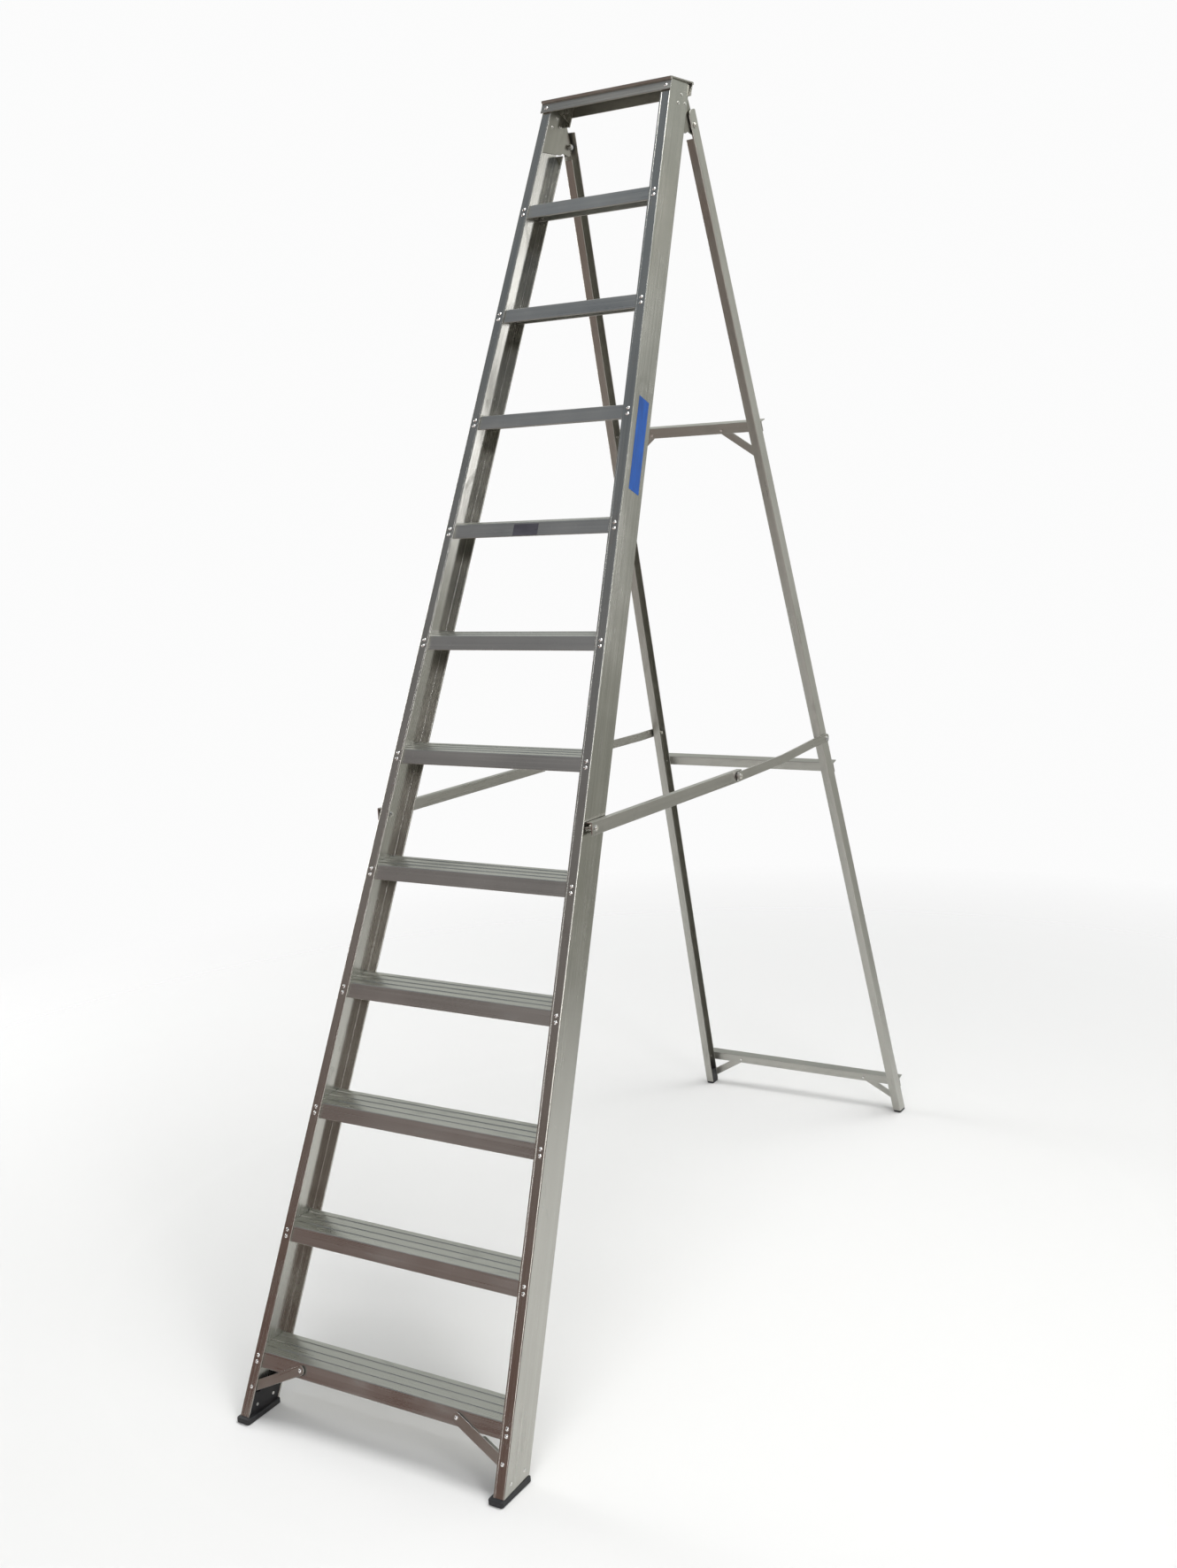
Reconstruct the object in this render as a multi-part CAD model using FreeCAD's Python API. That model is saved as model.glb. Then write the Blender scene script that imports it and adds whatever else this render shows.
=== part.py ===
import FreeCAD, Part
import math
import os

# Swing-back step ladder: a climbing section of two channel stiles and flat
# treads, a rear frame hinged to it under the top cap, and a folding stay on
# each side.  Millimetres.  X across (+X is the right-hand side seen by the
# climber), -Y towards the climber, +Z up.  The origin is on the floor at the
# centre of the ladder's footprint.

V = FreeCAD.Vector

# ---- Whole ladder -------------------------------------------------------
CLIMB_LEAN = 25.0        # climbing section, degrees from vertical
REAR_LEAN = 15.0         # rear frame, degrees from vertical
TREAD_COUNT = 11
TREAD_PITCH = 238.0      # vertical rise from tread to tread
FIRST_TREAD = 134.0      # top of the lowest tread
CAP_TOP = FIRST_TREAD + TREAD_COUNT * TREAD_PITCH + 8.0
STILE_HALF = 337.45      # outer half width of the stiles, at the floor
STILE_TAPER = 0.06032    # half width lost for each mm of height
LEG_HALF = 317.7         # outer half width of the rear legs, at the floor
LEG_TAPER = 0.05288
MIRROR = V(1, 0, 0)

# ---- Channel sections ---------------------------------------------------
STILE_DEPTH = 83.0
STILE_FLANGE = 25.0
STILE_WEB = 2.8
STILE_WALL = 3.0
BEAD_HEIGHT = 0.8        # raised lip along the edge of a stile flange
BEAD_WIDTH = 3.5
LEG_DEPTH = 34.0
LEG_FLANGE = 22.0
LEG_WALL = 2.2
GAP = 0.1                # between pieces that are riveted face to face

# ---- Treads -------------------------------------------------------------
TREAD_HEIGHT = 30.0
TREAD_WALL = 2.4
RIB_HEIGHT = 1.3
RIB_COUNT = 4
GROOVE = 7.0
RIVET_INSET = 12.0       # from the outer face of the stile
RIVET_SPACING = 13.6
RIVET_DROP = 13.2        # centre of a rivet pair below the tread's top

# ---- Fasteners ----------------------------------------------------------
RIVET_SHANK = 2.4
RIVET_HEAD = 4.1
RIVET_DOME = 1.9
HEAD_LIFT = 0.15         # underside of a rivet head above its surface
BOLT_R = 4.0
RUNNING = 0.07           # radial clearance of a hole that turns on its bolt
HEAD_R = 5.4
HEAD_DOME = 2.6
ELBOW_HEAD_R = 6.2
WASHER_RIM = 1.4         # bolt washer beyond its head
NUT_FLATS = 11.6
NUT_HEIGHT = 8.0
NUT_GAP = 0.5            # between a nut and the wall that it is tightened on

# ---- Main hinge, in the stile's own depth and length --------------------
HINGE_DEPTH = 120.0
HINGE_ALONG = 2996.0
LEG_HINGE_DEPTH = 15.0   # pivot behind the front face of the rear leg
LEG_TOP = 35.0           # rear leg beyond the pivot
LEG_FLANGE_TOP = 27.0    # its front flange starts this far below the pivot
BRACKET_PLATE = 3.0
BRACKET_HIGH = 3052.0    # top of the bracket, along the stile
BRACKET_ARM_LOW = 2957.0  # its underside where it leaves the stile's channel
BRACKET_NOTCH_TOP = 3030.0  # top of the notch in the stile's rear flange
BRACKET_RIVETS = [(52.0, 3032.0), (42.0, 3005.0), (72.0, 3021.0)]  # depth, along

# ---- Top cap ------------------------------------------------------------
CAP_PLATE = 3.0
CAP_WALL = 2.6
CAP_BEAD = 0.9           # raised lip along the lower edge of a cap flange
CAP_HALF = 174.8
CAP_FRONT_Y = 1276.4
CAP_REAR_Y = 1384.0
CAP_FRONT_DROP = 29.0
CAP_REAR_DROP = 32.0
CAP_RIVET_X = 161.0
CAP_RIVET_Z = CAP_TOP - 19.5

# ---- Feet ---------------------------------------------------------------
SOLE = 12.0
SOLE_PROUD = 4.0
SOLE_SIDE = 1.2          # sole beyond the stile's outer face
SOLE_INNER = 33.0        # inner edge of the sole from that face
SOLE_BACK = 5.5          # sole behind the stile's rear face
FOOT_BLOCK = 56.0
FOOT_RIVETS = [(18.8, 41.4), (61.7, 61.8)]
PLUG_SOLE = 6.0
PLUG_BLOCK = 45.0

# ---- Tread braces and rear frame ----------------------------------------
BRACE_TOP = (200.0, 121.5)   # rivet of a tread brace in the lowest tread, X and Z
BRACE_FOOT_Z = 66.0
BRACE_TOP_DEPTH = -2.2       # brace's face in front of the stile's front face
BRACE_LOW_GAP = 0.9          # and behind the stile's flange at its foot
BRACE_WIDTH = 20.0
BRACE_WALL = 2.2
BRACE_FLANGE = 12.0
BRACE_END = 10.0
CROSS_WEB = 26.0
CROSS_FLANGE = 22.0
CROSS_WALL = 2.4
CROSS_TOPS = {"upper_cross_brace": 1989.0, "middle_cross_brace": 1082.5,
              "lower_cross_brace": 101.0}
CORNER_RISE = {"upper": (100.0, 1974.0, 205.0, 1898.0),
               "lower": (200.0, 89.5, 303.0, 27.0)}
REAR_BACK = LEG_DEPTH + GAP + CROSS_WALL + GAP

# ---- Labels -------------------------------------------------------------
LABEL_WALL = 0.35
LABEL_DEPTHS = (22.5, 64.5)      # of the side label, behind the stile's front
LABEL_ALONG = (2063.0, 2279.0)
RATING_TREAD = 7                 # treads below the one that carries the rating
RATING_ACROSS = (-44.0, 21.0)
RATING_BELOW = (27.5, 3.5)       # its lower and upper edge below the tread's top

# ---- Stays --------------------------------------------------------------
STAY_A_DEPTH = 26.0      # front pivot, in the stile
STAY_A_ALONG = 1319.0
STAY_B_DEPTH = 17.0      # rear pivot, in the rear leg
STAY_B_HEIGHT = 1157.4
STAY_FRONT_SHARE = 0.5404  # of the distance from A to B
STAY_OVER_CENTRE = 5.0   # elbow below the line from A to B
STAY_OUTER = 280.0       # outer face of the front link
STAY_WEB = 28.0
STAY_WALL = 2.6
STAY_TOP_FLANGE = 13.0
BAR_HEIGHT = 22.0
BAR_WALL = 4.0
BAR_AT_ELBOW = 282.2     # inner face of the rear link, at the elbow
BAR_AT_LEG = 259.6       # and at the rear leg
LINK_CLEAR = 0.3
LINK_FRONT_END = 15.0    # front link beyond its pivot in the stile
LINK_REAR_END = 17.0     # and beyond the elbow
BAR_END = 13.0
CRANK_FROM = 235.0       # the rear link's crank, from the elbow
CRANK_TO = 470.0
CRANK_BEND = 60.0

SIN_F = math.sin(math.radians(CLIMB_LEAN))
COS_F = math.cos(math.radians(CLIMB_LEAN))
SIN_R = math.sin(math.radians(REAR_LEAN))
COS_R = math.cos(math.radians(REAR_LEAN))
# The rear wall's rivets sit level with the front ones, seen along the tread.
REAR_RIVET_SHIFT = STILE_DEPTH * SIN_F / COS_F - 6.0

SPARE = 400.0            # reach of the blocks that trim the ends of cross pieces
TALL = 4000.0            # taller than the ladder


# ======================= frames and small shapes =========================

def frame(origin, x_axis, y_axis):
    """Placement whose local X and Y follow the two given directions."""
    x = V(x_axis).normalize()
    z = x.cross(V(y_axis)).normalize()
    y = z.cross(x)
    m = FreeCAD.Matrix(x.x, y.x, z.x, origin.x,
                       x.y, y.y, z.y, origin.y,
                       x.z, y.z, z.z, origin.z,
                       0, 0, 0, 1)
    return FreeCAD.Placement(m)


def rail_frame(lean, taper, foot):
    """Frame of a sloping rail on the right-hand side.

    Local X is outward from its web, Y is its depth from front to back and Z
    runs up along it.  The rail leans back by lean degrees and comes in by
    taper for each mm of height.
    """
    s = math.sin(math.radians(lean))
    c = math.cos(math.radians(lean))
    up = V(-taper, s / c, 1)
    depth = V(0, c, -s)
    out = depth.cross(up)
    return frame(foot, out, depth)


def outline(points):
    """Closed wire through (x, y, corner radius) points in the XY plane."""
    edges = []
    last = None
    first = None
    count = len(points)
    for i in range(count):
        px, py, r = points[i]
        p = V(px, py, 0)
        a = V(points[i - 1][0], points[i - 1][1], 0) - p
        b = V(points[(i + 1) % count][0], points[(i + 1) % count][1], 0) - p
        a.normalize()
        b.normalize()
        if r > 0:
            half = a.getAngle(b) / 2
            run = r / math.tan(half)
            middle = (a + b).normalize()
            centre = p + middle * (r / math.sin(half))
            start = p + a * run
            end = p + b * run
            corner = Part.Arc(start, centre - middle * r, end).toShape()
        else:
            start = p
            end = p
            corner = None
        if last is None:
            first = start
        elif (start - last).Length > 1e-6:
            edges.append(Part.LineSegment(last, start).toShape())
        if corner is not None:
            edges.append(corner)
        last = end
    if (first - last).Length > 1e-6:
        edges.append(Part.LineSegment(last, first).toShape())
    return Part.Wire(edges)


def prism(points, start, end):
    """Solid of an outline from local Z = start to Z = end."""
    face = Part.Face(outline(points))
    face.translate(V(0, 0, start))
    return face.extrude(V(0, 0, end - start))


def placed(shape, place):
    """Copy of a shape moved from a local frame to the ladder's frame."""
    result = shape.copy()
    result.Placement = place.multiply(result.Placement)
    return result


def mirrored(shape):
    """The left-hand copy of a right-hand shape."""
    return shape.mirror(V(0, 0, 0), MIRROR)


def both(shapes):
    """Right-hand shapes with their left-hand copies, as one group."""
    return Part.makeCompound(shapes + [mirrored(s) for s in shapes])


def box(x0, x1, y0, y1, z0, z1):
    return Part.makeBox(x1 - x0, y1 - y0, z1 - z0, V(x0, y0, z0))


def drilled(shape, holes):
    return shape.cut(Part.makeCompound(holes)) if holes else shape


def dome(radius, height):
    """Spherical cap standing on Z = 0."""
    ball = (radius * radius + height * height) / (2 * height)
    cap = Part.makeSphere(ball, V(0, 0, height - ball))
    return cap.common(box(-radius - 1, radius + 1, -radius - 1, radius + 1, 0, height + 1))


def rivet(grip):
    """Dome-head rivet: head above Z = 0, grip below it, then the upset tail."""
    shank = Part.makeCylinder(RIVET_SHANK, grip + 1.2, V(0, 0, -grip - 0.9))
    tail = Part.makeCylinder(RIVET_SHANK + 1.1, 1.2, V(0, 0, -grip - HEAD_LIFT - 1.2))
    head = dome(RIVET_HEAD, RIVET_DOME)
    head.translate(V(0, 0, HEAD_LIFT))
    return head.fuse([shank, tail]).removeSplitter()


def rivet_hole(reach=10.0):
    return Part.makeCylinder(RIVET_SHANK + 0.1, 2 * reach, V(0, 0, -reach))


def aimed(shape, point, direction):
    """Shape moved so that its origin is at point and its +Z along direction."""
    result = shape.copy()
    result.Placement = FreeCAD.Placement(point, FreeCAD.Rotation(V(0, 0, 1), direction))
    return result


def pivot_bolt(inner, outer, head_r=HEAD_R):
    """Bolt along +X from X = inner, with its domed head outside X = outer."""
    shank = Part.makeCylinder(BOLT_R, outer - inner + 0.5, V(0, 0, inner))
    washer = Part.makeCylinder(head_r + WASHER_RIM, 1.4, V(0, 0, outer))
    head = dome(head_r, HEAD_DOME)
    head.translate(V(0, 0, outer + 1.3))
    return shank.fuse([washer, head]).removeSplitter()


def nut(x_inner):
    """Lock nut from local Z = x_inner, with a bore a little over its bolt."""
    r = NUT_FLATS / math.sqrt(3)
    ring = [(r * math.cos(math.radians(60 * i)), r * math.sin(math.radians(60 * i)), 0.6)
            for i in range(6)]
    height = NUT_HEIGHT
    body = prism(ring, x_inner, x_inner + height)
    cone = Part.makeCone(NUT_FLATS / 2 + 0.4, NUT_FLATS / 2 + 0.4 + height, height,
                         V(0, 0, x_inner))
    body = body.common(cone)
    return body.cut(Part.makeCylinder(BOLT_R + GAP, height + 2, V(0, 0, x_inner - 1)))


def ring(radius, bore, start, end):
    outer = Part.makeCylinder(radius, end - start, V(0, 0, start))
    return outer.cut(Part.makeCylinder(bore, end - start + 2, V(0, 0, start - 1)))


def across(y, z):
    """Frame at (y, z) whose local Z runs along +X."""
    return frame(V(0, y, z), V(0, 1, 0), V(0, 0, 1))


# ============================== layout ===================================

def stile_y(depth, z):
    """Y of the stile's surface at a depth behind its front face, at height z."""
    return (depth + z * SIN_F) / COS_F


def stile_half(depth, z):
    """Outer half width of the stiles at that depth and height."""
    y = stile_y(depth, z)
    along = y * SIN_F + z * COS_F
    return STILE_HALF - STILE_TAPER * COS_F * along


def stile_yz(depth, along):
    return (along * SIN_F + depth * COS_F, along * COS_F - depth * SIN_F)


HINGE_Y, HINGE_Z = stile_yz(HINGE_DEPTH, HINGE_ALONG)
LEG_FOOT_Y = HINGE_Y + HINGE_Z * SIN_R / COS_R - LEG_HINGE_DEPTH / COS_R
FOOTPRINT_FRONT = -SOLE_PROUD
FOOTPRINT_REAR = LEG_FOOT_Y + (LEG_DEPTH - PLUG_SOLE * SIN_R) / COS_R
ORIGIN_Y = (FOOTPRINT_FRONT + FOOTPRINT_REAR) / 2

STILE = rail_frame(CLIMB_LEAN, STILE_TAPER, V(STILE_HALF, 0, 0))
LEG = rail_frame(-REAR_LEAN, LEG_TAPER, V(LEG_HALF, LEG_FOOT_Y, 0))
REAR = frame(V(0, LEG_FOOT_Y, 0), V(1, 0, 0), V(0, COS_R, SIN_R))
FACE = frame(V(0, 0, 0), V(1, 0, 0), V(0, COS_F, -SIN_F))

STAY_A = stile_yz(STAY_A_DEPTH, STAY_A_ALONG)
STAY_B = (LEG_FOOT_Y + (STAY_B_DEPTH - STAY_B_HEIGHT * SIN_R) / COS_R, STAY_B_HEIGHT)
STAY_SPAN = math.hypot(STAY_B[0] - STAY_A[0], STAY_B[1] - STAY_A[1])
STAY_DIR = V(0, (STAY_B[0] - STAY_A[0]) / STAY_SPAN, (STAY_B[1] - STAY_A[1]) / STAY_SPAN)
STAY_UP = V(0, -STAY_DIR.z, STAY_DIR.y)
STAY_A_AT = V(0, STAY_A[0], STAY_A[1])
STAY_B_AT = V(0, STAY_B[0], STAY_B[1])
ELBOW_AT = (STAY_A_AT + STAY_DIR * (STAY_SPAN * STAY_FRONT_SHARE)
            - STAY_UP * STAY_OVER_CENTRE)

NODES = {}


def keep(name, shape):
    """Store a finished node, moved so that the footprint is centred."""
    result = shape.copy()
    result.translate(V(0, -ORIGIN_Y, 0))
    NODES[name] = result


def tread_tops():
    return [FIRST_TREAD + i * TREAD_PITCH for i in range(TREAD_COUNT)]


def tread_rivet_points():
    """Distance along the stile's front face of each tread rivet."""
    result = []
    for top in tread_tops():
        for side in (-1, 1):
            along = (top - RIVET_DROP) / COS_F + side * RIVET_SPACING / 2
            result.append(along)
    return result


def stile_point(inset, depth, along):
    """Point in the ladder's frame, from the stile's section and its length."""
    cos_taper = math.cos(math.atan(STILE_TAPER * COS_F))
    return STILE.multVec(V(-inset, depth, along / cos_taper))


def stile_dir(x, y, z):
    return STILE.Rotation.multVec(V(x, y, z))


def leg_dir(x, y, z):
    return LEG.Rotation.multVec(V(x, y, z))


def rear_point(x, depth, z):
    """Point at height z and a depth behind the rear frame's front plane."""
    return V(x, LEG_FOOT_Y + (depth - z * SIN_R) / COS_R, z)


def front_point(x, depth, z):
    return V(x, stile_y(depth, z), z)


# ======================== climbing section ===============================

def stile_section():
    d = STILE_DEPTH
    f = -STILE_FLANGE
    w = STILE_WALL
    b = BEAD_WIDTH
    h = BEAD_HEIGHT
    return [(0, 0, 3.0), (0, d, 3.0),
            (f + b + 1, d, 0.4), (f + b, d + h, 0.7), (f, d + h, 1.2), (f, d - w, 1.2),
            (-STILE_WEB, d - w, 0), (-STILE_WEB, w, 0),
            (f, w, 1.2), (f, -h, 1.2), (f + b, -h, 0.7), (f + b + 1, 0, 0.4)]


def brace_ends():
    """Rivet centres of the right tread brace, on its own front surface."""
    inset = RIVET_INSET + 1.5
    top = front_point(BRACE_TOP[0], BRACE_TOP_DEPTH, BRACE_TOP[1])
    low_x = stile_half(STILE_WALL, BRACE_FOOT_Z) - inset
    low = front_point(low_x, STILE_WALL + BRACE_LOW_GAP, BRACE_FOOT_Z)
    return top, low


def stile_holes():
    holes = []
    forward = stile_dir(0, -1, 0)
    outward = stile_dir(1, 0, 0)
    back = stile_dir(0, 1, 0)
    hole = rivet_hole()
    for along in tread_rivet_points():
        holes.append(aimed(hole, stile_point(RIVET_INSET, 0, along), forward))
        rear = stile_point(RIVET_INSET, STILE_DEPTH, along + REAR_RIVET_SHIFT)
        holes.append(aimed(hole, rear, back))
    for depth, along in BRACKET_RIVETS:
        holes.append(aimed(rivet_hole(), stile_point(STILE_WEB, depth, along), -outward))
    for depth, along in FOOT_RIVETS:
        holes.append(aimed(rivet_hole(), stile_point(0, depth, along), outward))
    holes.append(aimed(hole, brace_ends()[1] + forward * 3.5, forward))
    holes += [aimed(hole, point, side) for point, side in cap_rivet_seats()]
    bore = Part.makeCylinder(BOLT_R + GAP, 40, V(0, 0, STAY_OUTER - 40))
    holes.append(placed(bore, across(STAY_A[0], STAY_A[1])))
    return holes


def stile():
    rail = prism(stile_section(), -20, CAP_TOP / COS_F + 60)
    rail = placed(rail, STILE)
    reach = 600
    rail = rail.cut(box(-reach, reach, -reach, reach, -reach, SOLE))
    top = CAP_TOP - CAP_PLATE - GAP
    rail = rail.cut(box(-reach, reach, 900, 2000, top, top + reach))
    slot = box(-STILE_WEB - BRACKET_PLATE - 1.2, -STILE_WEB, STILE_DEPTH - STILE_WALL - 1,
               STILE_DEPTH + 3, BRACKET_ARM_LOW - 4, BRACKET_HIGH + 4)
    notch = box(-STILE_FLANGE - 1, -STILE_WEB, STILE_DEPTH - STILE_WALL - 1,
                STILE_DEPTH + 3, BRACKET_ARM_LOW - 4, BRACKET_NOTCH_TOP)
    rail = rail.cut(placed(slot.fuse(notch), STILE))
    return drilled(rail, stile_holes())


def tread_section(top):
    """Section of one tread in Y and Z, with ribs along its upper face."""
    front = STILE_WALL + GAP
    rear = STILE_DEPTH - STILE_WALL - GAP
    base = top - RIB_HEIGHT
    low = top - TREAD_HEIGHT
    y0 = stile_y(front, top)
    y1 = stile_y(rear, top)
    rib = (y1 - y0 - (RIB_COUNT - 1) * GROOVE) / RIB_COUNT
    upper = []
    for i in range(RIB_COUNT):
        a = y0 + i * (rib + GROOVE)
        b = a + rib
        if i > 0:
            upper.append((a, base, 0))
            upper.append((a + 1.2, top, 0.4))
        if i < RIB_COUNT - 1:
            upper.append((b - 1.2, top, 0.4))
            upper.append((b, base, 0))
    wall = TREAD_WALL
    inner_top = base - wall
    lip = 7.0
    return ([(stile_y(front, low), low, 1.0), (y0, top, 2.4)] + upper
            + [(y1, top, 2.4), (stile_y(rear, low), low, 1.0),
               (stile_y(rear, low) - lip, low, 0.8),
               (stile_y(rear, low + wall) - lip, low + wall, 0.8),
               (stile_y(rear - wall, low + wall), low + wall, 0.8),
               (stile_y(rear - wall, inner_top), inner_top, 1.5),
               (stile_y(front + wall, inner_top), inner_top, 1.5),
               (stile_y(front + wall, low + wall), low + wall, 0.8),
               (stile_y(front, low + wall) + lip, low + wall, 0.8),
               (stile_y(front, low) + lip, low, 0.8)])


def tread(index):
    top = FIRST_TREAD + index * TREAD_PITCH
    half = STILE_HALF
    body = prism(tread_section(top), -half, half)
    body = placed(body, across(0, 0))
    spare = placed(box(-STILE_WEB - 0.4, SPARE, -SPARE, SPARE, -SPARE, TALL), STILE)
    holes = [spare]
    forward = stile_dir(0, -1, 0)
    back = stile_dir(0, 1, 0)
    hole = rivet_hole()
    for side in (-1, 1):
        along = (top - RIVET_DROP) / COS_F + side * RIVET_SPACING / 2
        holes.append(aimed(hole, stile_point(RIVET_INSET, 0, along), forward))
        rear = stile_point(RIVET_INSET, STILE_DEPTH, along + REAR_RIVET_SHIFT)
        holes.append(aimed(hole, rear, back))
    if index == 0:
        holes.append(aimed(hole, brace_ends()[0], forward))
    for cutter in (holes, [mirrored(h) for h in holes]):
        body = body.cut(cutter[0])
        body = drilled(body, cutter[1:])
    return body


def tread_rivets(depth, shift, direction):
    base = rivet(STILE_WALL + TREAD_WALL + GAP)
    shapes = []
    for along in tread_rivet_points():
        point = stile_point(RIVET_INSET, depth, along + shift)
        shapes.append(aimed(base, point, direction))
    return both(shapes)


def cap_section():
    """Section of the top cap in Y and Z: plate, two lips and two flanges."""
    top = CAP_TOP
    under = top - CAP_PLATE
    wall = CAP_WALL
    fo = -(BEAD_HEIGHT + GAP + wall)
    fi = -(BEAD_HEIGHT + GAP)
    ro = STILE_DEPTH + BEAD_HEIGHT + GAP + wall
    ri = STILE_DEPTH + BEAD_HEIGHT + GAP
    f_low = top - CAP_FRONT_DROP
    r_low = top - CAP_REAR_DROP
    nose = top - 6.0
    return [(CAP_FRONT_Y, top, 1.6), (CAP_REAR_Y, top, 1.6), (CAP_REAR_Y, nose, 1.4),
            (stile_y(ro, nose - 1.5), nose - 1.5, 0.6),
            (stile_y(ro, r_low + 6), r_low + 6, 0.4),
            (stile_y(ro + CAP_BEAD, r_low + 5), r_low + 5, 0.5),
            (stile_y(ro + CAP_BEAD, r_low), r_low, 1.0),
            (stile_y(ri, r_low), r_low, 0.8),
            (stile_y(ri, under), under, 0),
            (stile_y(fi, under), under, 0),
            (stile_y(fi, f_low), f_low, 0.8),
            (stile_y(fo - CAP_BEAD, f_low), f_low, 1.0),
            (stile_y(fo - CAP_BEAD, f_low + 5), f_low + 5, 0.5),
            (stile_y(fo, f_low + 6), f_low + 6, 0.4),
            (stile_y(fo, nose - 1.5), nose - 1.5, 0.6),
            (CAP_FRONT_Y, nose, 1.4)]


def cap_rivet_seats():
    """Points on the stile's flanges under the cap's right-hand rivets."""
    return [(front_point(CAP_RIVET_X, 0, CAP_RIVET_Z), stile_dir(0, -1, 0)),
            (front_point(CAP_RIVET_X, STILE_DEPTH, CAP_RIVET_Z), stile_dir(0, 1, 0))]


def cap_rivets():
    lift = BEAD_HEIGHT + GAP + CAP_WALL
    base = rivet(STILE_WALL + lift)
    return [aimed(base, point + side * lift, side) for point, side in cap_rivet_seats()]


def top_cap():
    body = placed(prism(cap_section(), -CAP_HALF, CAP_HALF), across(0, 0))
    holes = [aimed(rivet_hole(), point, side) for point, side in cap_rivet_seats()]
    return drilled(body, holes + [mirrored(h) for h in holes])


def hinge_bracket():
    """Plate inside the stile's web that reaches back to the rear leg's pivot."""
    x1 = -STILE_WEB - GAP
    x0 = x1 - BRACKET_PLATE
    d, a = HINGE_DEPTH, HINGE_ALONG
    # A broad plate on the web, whose lower edge rises to the round end at the
    # pivot.  The notch before that end leaves room for the leg's front flange.
    side = [(6, a - 72, 6), (6, a + 38, 6), (38, BRACKET_HIGH, 10), (82, BRACKET_HIGH, 12),
            (d - 8, a + 28, 14), (d + 14, a + 6, 12), (d + 13, a - 14, 12),
            (d - 16, a - 20, 8), (d - 24, a - 30, 6)]
    # The outline lies in the stile's depth and length; X is its thickness.
    plate = placed(prism(side, x0, x1), frame(V(0, 0, 0), V(0, 1, 0), V(0, 0, 1)))
    body = placed(plate, STILE)
    holes = []
    for depth, along in BRACKET_RIVETS:
        point = stile_point(STILE_WEB, depth, along)
        holes.append(aimed(rivet_hole(), point, stile_dir(-1, 0, 0)))
    bore = Part.makeCylinder(BOLT_R + GAP, 80, V(0, 0, 130))
    holes.append(placed(bore, across(HINGE_Y, HINGE_Z)))
    return drilled(body, holes)


def bracket_rivets():
    shapes = []
    grip = BRACKET_PLATE + STILE_WEB + GAP
    inner = STILE_WEB + GAP + BRACKET_PLATE
    for depth, along in BRACKET_RIVETS:
        head = aimed(rivet(grip), stile_point(inner, depth, along), stile_dir(-1, 0, 0))
        shapes.append(head)
    return both(shapes)


def front_foot():
    """Rubber shoe: a block inside the stile's channel on a wider sole."""
    front = -SOLE_PROUD
    rear = stile_y(STILE_DEPTH, 0) + SOLE_BACK
    out = STILE_HALF + SOLE_SIDE
    inn = STILE_HALF - SOLE_INNER
    sole = [(inn, front, 5), (out, front, 5), (out, rear, 5), (inn, rear, 5)]
    body = prism(sole, 0, SOLE - GAP)
    rim = [e for e in body.Edges if abs(e.CenterOfMass.z) < 0.01
           or abs(e.CenterOfMass.z - SOLE + GAP) < 0.01]
    body = body.makeFillet(2.0, rim)
    block = box(-STILE_FLANGE + 2, -STILE_WEB - 0.4, STILE_WALL + 0.4,
                STILE_DEPTH - STILE_WALL - 0.4, -30, FOOT_BLOCK + 60)
    block = placed(block, STILE)
    block = block.common(box(0, 600, -100, 300, SOLE - 3, FOOT_BLOCK))
    body = body.fuse(block).removeSplitter()
    holes = []
    for depth, along in FOOT_RIVETS:
        holes.append(aimed(rivet_hole(40), stile_point(0, depth, along), stile_dir(1, 0, 0)))
    low = aimed(rivet_hole(), brace_ends()[1] + stile_dir(0, -1, 0) * 3.5,
                stile_dir(0, -1, 0))
    room = aimed(Part.makeCylinder(9, 9, V(0, 0, -6)), brace_ends()[1], stile_dir(0, -1, 0))
    return drilled(body, holes).cut(low).cut(room).cut(brace_room())


def front_foot_rivets():
    shapes = []
    for depth, along in FOOT_RIVETS:
        point = stile_point(0, depth, along)
        shapes.append(aimed(rivet(STILE_FLANGE - 2 + GAP), point, stile_dir(1, 0, 0)))
    return both(shapes)


# ---- straps and small angles used as corner braces ----------------------

def corner_angle(p, q, front, flange_from, flange_to):
    """Small angle from rivet p to rivet q, with its face towards front.

    Its flange runs along the upper edge, pointing back, between the two
    distances from p.
    """
    length = (q - p).Length
    along = (q - p).normalize()
    width = front.cross(along)
    place = frame(p, along, width)
    if place.Rotation.multVec(V(0, 1, 0)).z < 0:
        width = width * -1
        place = frame(p, along, width)
    facing = place.Rotation.multVec(V(0, 0, 1)).dot(front)
    half = BRACE_WIDTH / 2
    e = BRACE_END
    side = [(-e, -half, 9), (length + e, -half, 9), (length + e, half, 9), (-e, half, 9)]
    back = -BRACE_WALL if facing > 0 else BRACE_WALL
    depth = -BRACE_FLANGE if facing > 0 else BRACE_FLANGE
    web = prism(side, min(0, back), max(0, back))
    flange = box(flange_from, flange_to, half - BRACE_WALL, half,
                 min(back / 2, depth), max(back / 2, depth))
    body = placed(web.fuse(flange).removeSplitter(), place)
    holes = [aimed(rivet_hole(), point, front) for point in (p, q)]
    return drilled(body, holes)


def tread_brace():
    top, low = brace_ends()
    return corner_angle(top, low, stile_dir(0, -1, 0), 67, (low - top).Length - 14)


def brace_room():
    """Space round the tread brace that the foot's block leaves free."""
    top, low = brace_ends()
    along = (low - top).normalize()
    place = frame(top, along, stile_dir(0, 1, 0).cross(along))
    return placed(box(-20, (low - top).Length + 13, -12, 12, -5, 15), place)


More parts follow.
